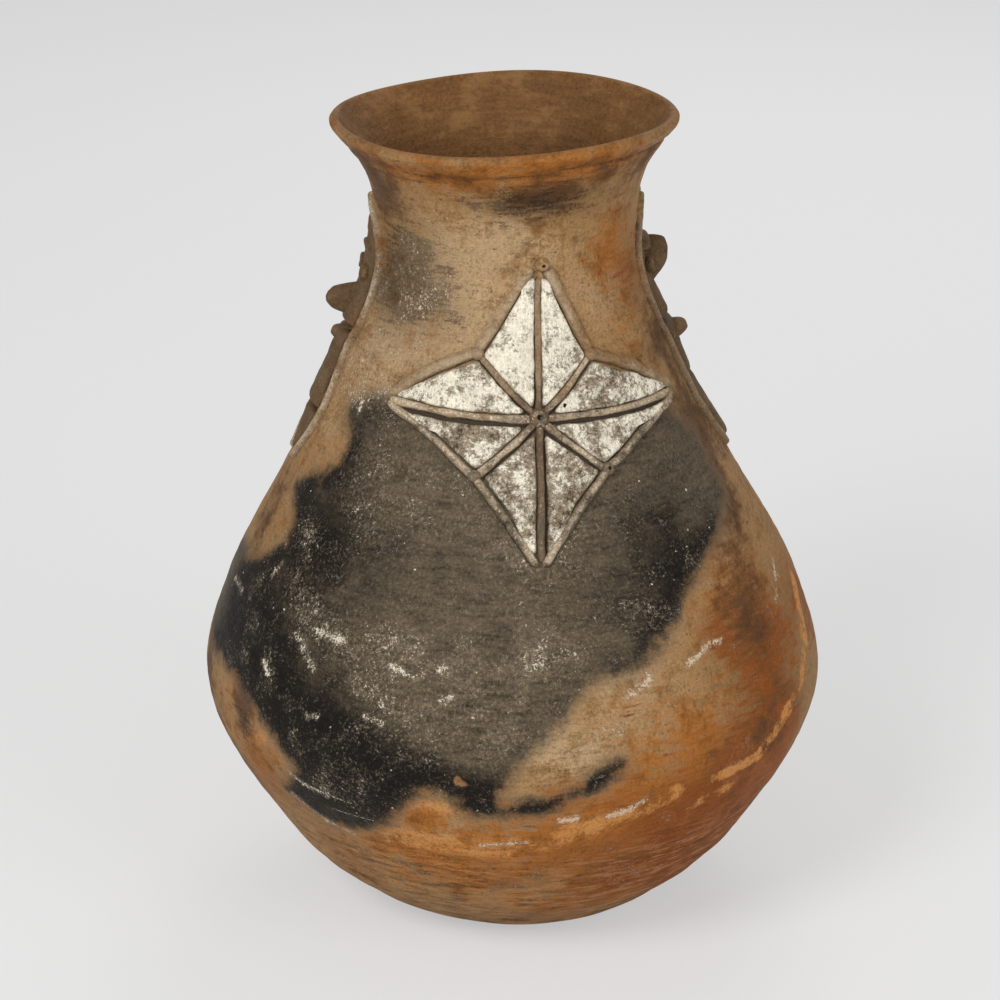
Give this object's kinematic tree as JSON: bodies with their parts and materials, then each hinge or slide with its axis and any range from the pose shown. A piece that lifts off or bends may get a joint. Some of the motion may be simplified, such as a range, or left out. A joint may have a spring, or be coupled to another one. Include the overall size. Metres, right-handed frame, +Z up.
{
  "type": "storage jar",
  "caption": "Hand-built earthenware storage jar: swelling body, narrow neck and flared lip, with a star in applied clay on the front and a mask with a lug nose on each side.",
  "frame": {"origin": "middle of the flat foot, on the surface that the jar stands on", "axes": "+Z up along the jar; -Y towards the front, with the star; +X to the jar's right as seen from the front"},
  "size_m": [0.48, 0.4799, 0.6261],
  "materials": {
    "fired_clay": "burnished, open-fired, unglazed, with dark fire clouds",
    "relief_clay": "matt, open-fired, smoked dark",
    "lime_paint": "matt, worn lime paint over fired clay"
  },
  "bodies": {
    "root": {"base_bowl": "fired_clay", "belly_wall": "fired_clay", "left_mask_border_back": "relief_clay", "left_mask_border_front": "relief_clay", "left_mask_brow": "relief_clay", "left_mask_chin_lug": "relief_clay", "left_mask_eye_back": "relief_clay", "left_mask_eye_front": "relief_clay", "left_mask_face_plate": "relief_clay", "left_mask_nose_lug": "relief_clay", "left_mask_tail_lower": "relief_clay", "left_mask_tail_upper": "relief_clay", "neck_wall": "fired_clay", "right_mask_border_back": "relief_clay", "right_mask_border_front": "relief_clay", "right_mask_brow": "relief_clay", "right_mask_chin_lug": "relief_clay", "right_mask_eye_back": "relief_clay", "right_mask_eye_front": "relief_clay", "right_mask_face_plate": "relief_clay", "right_mask_nose_lug": "relief_clay", "right_mask_tail_lower": "relief_clay", "right_mask_tail_upper": "relief_clay", "rim_collar": "fired_clay", "shoulder_wall": "fired_clay", "star_centre_boss": "relief_clay", "star_edge_bottom_to_lower_left": "relief_clay", "star_edge_bottom_to_lower_right": "relief_clay", "star_edge_left_to_lower_left": "relief_clay", "star_edge_left_to_upper_left": "relief_clay", "star_edge_right_to_lower_right": "relief_clay", "star_edge_right_to_upper_right": "relief_clay", "star_edge_top_to_upper_left": "relief_clay", "star_edge_top_to_upper_right": "relief_clay", "star_field_bottom_to_lower_left": "lime_paint", "star_field_bottom_to_lower_right": "lime_paint", "star_field_left_to_lower_left": "lime_paint", "star_field_left_to_upper_left": "lime_paint", "star_field_right_to_lower_right": "lime_paint", "star_field_right_to_upper_right": "lime_paint", "star_field_top_to_upper_left": "lime_paint", "star_field_top_to_upper_right": "lime_paint", "star_pellet_lower_left": "relief_clay", "star_pellet_lower_right": "relief_clay", "star_pellet_upper_left": "relief_clay", "star_pellet_upper_right": "relief_clay", "star_rib_bottom": "relief_clay", "star_rib_left": "relief_clay", "star_rib_lower_left": "relief_clay", "star_rib_lower_right": "relief_clay", "star_rib_right": "relief_clay", "star_rib_top": "relief_clay", "star_rib_upper_left": "relief_clay", "star_rib_upper_right": "relief_clay", "star_tip_pellet": "relief_clay"}
  },
  "joints": []
}
